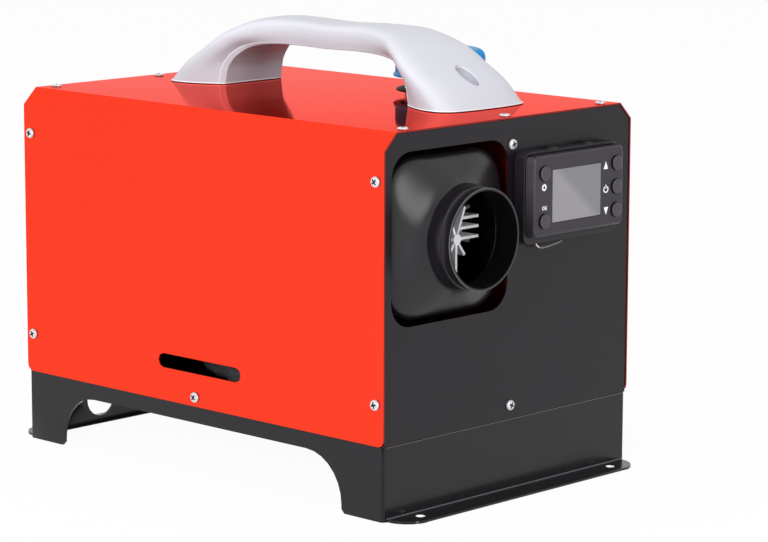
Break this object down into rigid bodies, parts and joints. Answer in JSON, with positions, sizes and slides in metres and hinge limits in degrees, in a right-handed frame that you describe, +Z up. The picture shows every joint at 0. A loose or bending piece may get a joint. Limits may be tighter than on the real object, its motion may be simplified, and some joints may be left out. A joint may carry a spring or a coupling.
{
  "type": "diesel air heater",
  "caption": "Portable diesel air heater: red folded case on a black footed base, round warm-air outlet, controller, carrying handle and screw-on fuel cap.",
  "frame": {"origin": "on the floor under the middle of the object's box: the middle between the outlet collar's tip and the rear foot flange", "axes": "+X to the right seen from the front, +Y from the front panel to the rear panel, +Z up"},
  "size_m": [0.2748, 0.442, 0.3342],
  "materials": {
    "red_paint": "satin powder coat",
    "panel_paint": "fine-textured dark powder coat",
    "base_paint": "fine-textured dark powder coat",
    "black_plastic": "moulded, fine satin",
    "grey_plastic": "moulded, satin",
    "blue_plastic": "moulded, semi-gloss",
    "tank_plastic": "blow-moulded, milky",
    "rubber": "matt",
    "steel": "satin",
    "screw_steel": "bright zinc plate",
    "cast_aluminium": "as cast",
    "circuit_board": "solder resist",
    "screen": "glossy display window"
  },
  "bodies": {
    "case": {"base_frame": "base_paint", "cover": "red_paint", "front_panel": "panel_paint", "rear_panel": "panel_paint", "divider_plate": "red_paint", "heater_shelf": "panel_paint", "outlet_hood": "black_plastic", "heater_casing_lower": "black_plastic", "heater_casing_upper": "black_plastic", "inlet_guard": "black_plastic", "heat_exchanger": "cast_aluminium", "burner": "steel", "glow_plug": "steel", "blower_housing": "cast_aluminium", "blower_motor": "steel", "control_unit": "black_plastic", "exhaust_pipe": "steel", "intake_pipe": "steel", "fuel_tank": "tank_plastic", "filler_ring": "rubber", "fuel_pump": "steel", "pump_clamp": "rubber", "tank_hose": "rubber", "heater_hose": "rubber", "handle": "grey_plastic", "controller_cradle": "black_plastic", "controller_bezel": "black_plastic", "controller_housing": "black_plastic", "controller_board": "circuit_board", "screen_lens": "screen", "controller_lead": "rubber", "power_socket": "black_plastic", "side_screw_left_front_low": "screw_steel", "side_screw_left_front_high": "screw_steel", "side_screw_left_rear_low": "screw_steel", "side_screw_left_rear_high": "screw_steel", "side_screw_left_middle": "screw_steel", "side_screw_right_front_low": "screw_steel", "side_screw_right_front_high": "screw_steel", "side_screw_right_rear_low": "screw_steel", "side_screw_right_rear_high": "screw_steel", "side_screw_right_middle": "screw_steel", "top_screw_front_left": "screw_steel", "top_screw_front_middle": "screw_steel", "top_screw_front_right": "screw_steel", "top_screw_rear_left": "screw_steel", "top_screw_rear_middle": "screw_steel", "top_screw_rear_right": "screw_steel", "front_screw_low": "screw_steel", "front_screw_high": "screw_steel"},
    "rotor": {"rotor_shaft": "steel", "combustion_impeller": "cast_aluminium", "fan_wheel": "black_plastic"},
    "cap_seal": {"cap_gasket": "rubber"},
    "cap": {"fuel_cap": "blue_plastic"},
    "menu_key": {"button_menu": "black_plastic"},
    "ok_key": {"button_ok": "black_plastic"},
    "up_key": {"button_up": "black_plastic"},
    "power_key": {"button_power": "black_plastic"},
    "down_key": {"button_down": "black_plastic"}
  },
  "joints": [
    {"name": "fan_spin", "type": "hinge", "parent": "case", "child": "rotor", "pos_m": [-0.0655, 0.06, 0.2], "axis": [0, 1, 0], "continuous": true},
    {"name": "cap_lift", "type": "slide", "parent": "case", "child": "cap_seal", "axis": [0, 0, 1], "range_m": [0, 0.045]},
    {"name": "cap_turn", "type": "hinge", "parent": "cap_seal", "child": "cap", "pos_m": [0.093, -0.031, 0.3], "axis": [0, 0, 1], "continuous": true},
    {"name": "menu_press", "type": "slide", "parent": "case", "child": "menu_key", "axis": [0, 1, 0], "range_m": [0, 0.001], "stiffness_N_per_m": 300, "springref_m": -0.0005},
    {"name": "ok_press", "type": "slide", "parent": "case", "child": "ok_key", "axis": [0, 1, 0], "range_m": [0, 0.001], "stiffness_N_per_m": 300, "springref_m": -0.0005},
    {"name": "up_press", "type": "slide", "parent": "case", "child": "up_key", "axis": [0, 1, 0], "range_m": [0, 0.001], "stiffness_N_per_m": 300, "springref_m": -0.0005},
    {"name": "power_press", "type": "slide", "parent": "case", "child": "power_key", "axis": [0, 1, 0], "range_m": [0, 0.001], "stiffness_N_per_m": 300, "springref_m": -0.0005},
    {"name": "down_press", "type": "slide", "parent": "case", "child": "down_key", "axis": [0, 1, 0], "range_m": [0, 0.001], "stiffness_N_per_m": 300, "springref_m": -0.0005}
  ]
}
